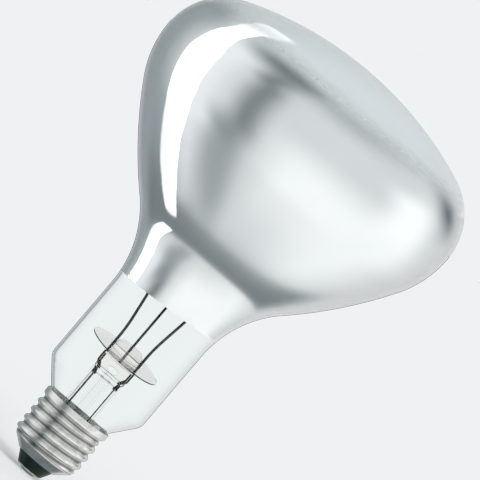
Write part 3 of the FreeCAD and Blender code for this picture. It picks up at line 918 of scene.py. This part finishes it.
@dataclass(frozen=True)
class TableEdge:
    """Dark far edge of the table, a bow below and behind the lamp that the bowl's foot reflects.

    Past measures how far a direction lies over the bow, on which y is 1 less the square of z.
    """

    past: tuple[float, float] = (-0.085, -0.03)
    height: tuple[float, float] = (-0.66, -0.40)
    colour: Colour = (0.20, 0.23, 0.24)

    def mask(self, nodes: Tree, ray: bpy.types.NodeSocket) -> bpy.types.NodeSocket:
        """Build the edge's soft mask in the world.

        Args:
            nodes: The world's tree.
            ray: Direction of the ray.

        Returns:
            The mask, 0 to 1.
        """
        rise = nodes.vector("DOT_PRODUCT", ray, UP)
        behind = nodes.vector("DOT_PRODUCT", ray, BEHIND)
        bow = nodes.math("SUBTRACT", 1.0, nodes.math("MULTIPLY", rise, rise))
        across = nodes.ramp(nodes.math("SUBTRACT", behind, bow), *self.past)
        return nodes.math("MULTIPLY", across, nodes.ramp(rise, *self.height, 1.0, 0.0))


@dataclass
class Studio:
    """Backdrop, floor, lamps and what the gloss of the lamp reflects."""

    backdrop: Colour = (0.86, 0.88, 0.89)
    ambient: float = 0.55
    base: Colour = (0.74, 0.75, 0.76)
    floor_size: float = 6.0       # metres from the middle to a side
    hung: tuple[tuple[str, Colour, float, float], ...] = (
        ("key_lamp", (1.4, -1.6, 1.5), 1.2, 22.0),        # name, place, size and watts
        ("fill_lamp", (-1.8, -0.9, 0.9), 1.0, 8.0),
    )
    soft: list[SoftLight] = field(default_factory=lambda: [
        SoftLight(0, 181, 84, 22, 1, 18, 0.52, (0.96, 1.0, 1.02)),
        SoftLight(55, 68, -38, 28, 22, 20, 1.06),
        SoftLight(92, 20, 5, 26, 14, 12, 1.12),
        SoftLight(-91, 20, -5, 46, 12, 12, 0.95, (0.98, 1.0, 1.02)),
        SoftLight(-147, 27, -16, 50, 20, 8, 0.40, (0.85, 0.95, 1.0)),
        SoftLight(-154, 18, -46, 12, 14, 10, 0.10, (0.85, 0.95, 1.0)),
        SoftLight(138, 10, 22, 11, 12, 12, 0.14, (0.75, 0.95, 1.0)),
        SoftLight(-74, 36, 66, 18, 24, 14, 0.22, (0.85, 0.95, 1.0)),
        SoftLight(-68, 22, -62, 15, 16, 10, 0.42, (0.9, 0.96, 1.0)),
        SoftLight(-55, 16, -42, 14, 14, 12, 0.34, (0.88, 0.96, 1.0)),
        SoftLight(-42, 11, 0, 38, 11, 14, 0.24, (0.85, 0.95, 1.0)),
        SoftLight(-50, 10, 42, 14, 12, 8, 0.22, (0.85, 0.95, 1.0)),
        SoftLight(-126, 22, -72, 8, 14, 7, 0.06, (0.85, 0.95, 1.0)),
    ])
    edge: TableEdge = TableEdge()
    strip: StripLight = StripLight()

    def build(self) -> None:
        """Build the world, the floor and the lamps."""
        bpy.context.scene.view_settings.view_transform = "Standard"
        self.world()
        self.floor()
        self.lamps()

    def world(self) -> None:
        """Build the world: pale where it is seen, a studio where it is reflected."""
        world = bpy.data.worlds.new("studio")
        bpy.context.scene.world = world
        world.use_nodes = True
        nodes = Tree(world.node_tree)
        ray = nodes.node("ShaderNodeTexCoord").outputs["Generated"]
        parts = nodes.node("ShaderNodeSeparateXYZ")
        nodes.put(parts.inputs[0], ray)
        away = nodes.math("MULTIPLY", parts.outputs["Y"], -1.0)
        degrees = 180.0 / math.pi
        azimuth = nodes.math("MULTIPLY", nodes.math("ARCTAN2", parts.outputs["X"], away), degrees)
        elevation = nodes.math("MULTIPLY", nodes.math("ARCSINE", parts.outputs["Z"]), degrees)
        seen: object = self.base
        for light in self.soft:
            colour = tuple(part * light.level for part in light.tint)
            seen = nodes.mix(light.mask(nodes, azimuth, elevation), seen, colour)
        seen = nodes.mix(self.edge.mask(nodes, ray), seen, self.edge.colour)
        rays = nodes.node("ShaderNodeLightPath")
        bare = nodes.math("LESS_THAN", rays.outputs["Transmission Depth"], HALF)
        bare = nodes.math("MULTIPLY", bare, rays.outputs["Is Singular Ray"])
        strip = nodes.math("MULTIPLY", self.strip.mask(nodes, ray), bare)
        seen = nodes.mix(strip, seen, (self.strip.level,) * 3)
        reflected = nodes.math("GREATER_THAN", rays.outputs["Glossy Depth"], HALF)
        ambient = tuple(part * self.ambient for part in self.backdrop)
        plain = nodes.mix(rays.outputs["Is Diffuse Ray"], self.backdrop, ambient)
        shader = nodes.node("ShaderNodeBackground")
        nodes.put(shader.inputs["Color"], nodes.mix(reflected, plain, seen))
        output = nodes.node("ShaderNodeOutputWorld")
        nodes.put(output.inputs["Surface"], shader.outputs[0])

    def floor(self) -> None:
        """Build the floor, which has the backdrop's colour and keeps the lamp's shadow."""
        shape = bmesh.new()
        bmesh.ops.create_grid(shape, x_segments=1, y_segments=1, size=self.floor_size)
        mesh = bpy.data.meshes.new("floor")
        shape.to_mesh(mesh)
        shape.free()
        finish = Finish("floor_paper")
        finish.set(Base_Color=self.backdrop, Roughness=0.9)
        mesh.materials.append(finish.material)
        ground = bpy.data.objects.new("floor", mesh)
        bpy.context.scene.collection.objects.link(ground)
        ground.is_shadow_catcher = True
        ground.visible_glossy = False
        ground.visible_transmission = False

    def lamps(self) -> None:
        """Hang the soft lamps."""
        for name, place, size, watts in self.hung:
            light = bpy.data.lights.new(name, "AREA")
            light.energy = watts
            light.size = size
            lamp = bpy.data.objects.new(name, light)
            lamp.location = place
            lamp.rotation_euler = (-Vector(place)).to_track_quat("-Z", "Y").to_euler()
            lamp.visible_camera = False
            lamp.visible_glossy = False
            lamp.visible_transmission = False
            bpy.context.scene.collection.objects.link(lamp)


@dataclass(frozen=True)
class Camera:
    """The photograph's view: nearly level, from far away, rolled so that the lamp leans."""

    roll: float = 40.4
    elevation: float = 2.4
    distance: float = 2.5
    frame_width: float = 164.2
    middle: tuple[float, float] = (4.2, 108.0)
    sensor: float = 36.0
    near: float = 0.05            # metres that the camera begins and ends to see at
    far: float = 50.0

    def build(self) -> None:
        """Make the camera and look through it."""
        data = bpy.data.cameras.new("camera")
        data.sensor_width = self.sensor
        data.lens = self.sensor * self.distance / (self.frame_width * MM)
        data.clip_start = self.near
        data.clip_end = self.far
        camera = bpy.data.objects.new("camera", data)
        tilt = math.radians(self.elevation)
        back = Vector((0, -math.cos(tilt), math.sin(tilt)))
        target = Vector((self.middle[0] * MM, 0, self.middle[1] * MM))
        camera.location = target + back * self.distance
        facing = (-back).to_track_quat("-Z", "Y").to_matrix()
        roll = Matrix.Rotation(math.radians(self.roll), 3, "Z")
        camera.rotation_euler = (facing @ roll).to_euler()
        bpy.context.scene.collection.objects.link(camera)
        bpy.context.scene.camera = camera


def main() -> None:
    """Dress the lamp and build its studio."""
    logging.basicConfig(level=logging.INFO, format="%(message)s")
    apex = CAD_BOX[1].z / MM
    outline = Outline(apex)
    mirror = Mirror(outline)
    Bulb(outline).build(BulbGlass().build(mirror))
    mirror.build(MirrorLayer().build(mirror))
    StemGlass().build().dress("stem_glass")
    ClearGlass("exhaust_glass", (0.985, 0.994, 0.99), 0.0, 1.05).build().dress("exhaust_tube")
    ClearGlass("heat_shield", (0.93, 0.905, 0.895), 0.1, 1.07).build().dress("heat_shield_disc")
    Metal("nickel_wire", (0.085, 0.095, 0.095), (0.05, 0.055, 0.055), 0.35).build().dress(
        "lead_wire_left", "lead_wire_right", "support_wire")
    Metal("tungsten", (0.36, 0.35, 0.34), (0.22, 0.21, 0.20), 0.4).build().dress("filament_coil")
    Metal("seal_wire", (0.075, 0.065, 0.06), (0.04, 0.035, 0.035), 0.4).build().dress(
        "seal_wire_left", "seal_wire_right")
    Metal("copper_wire", (0.16, 0.14, 0.13), (0.08, 0.07, 0.065), 0.38).build().dress(
        "outer_lead_centre", "outer_lead_side")
    CapMetal().build().dress("cap_shell")
    Matt("dark_glass", (0.003, 0.013, 0.010), (0.006, 0.020, 0.015), 0.3, 300.0, 0.00002, 0.15
         ).build().dress("cap_insulator")
    Matt("cement", (0.46, 0.455, 0.43), (0.34, 0.33, 0.31), 0.85, 900.0, 0.0001
         ).build().dress("cap_cement")
    Metal("contact_brass", (0.68, 0.65, 0.58), (0.48, 0.45, 0.40), 0.3).build().dress(
        "contact_plate")
    Metal("solder", (0.62, 0.62, 0.61), (0.42, 0.42, 0.42), 0.42, 700.0, 0.00006).build().dress(
        "contact_solder", "side_solder")
    Studio().build()
    Camera().build()


if __name__ == "__main__":
    main()
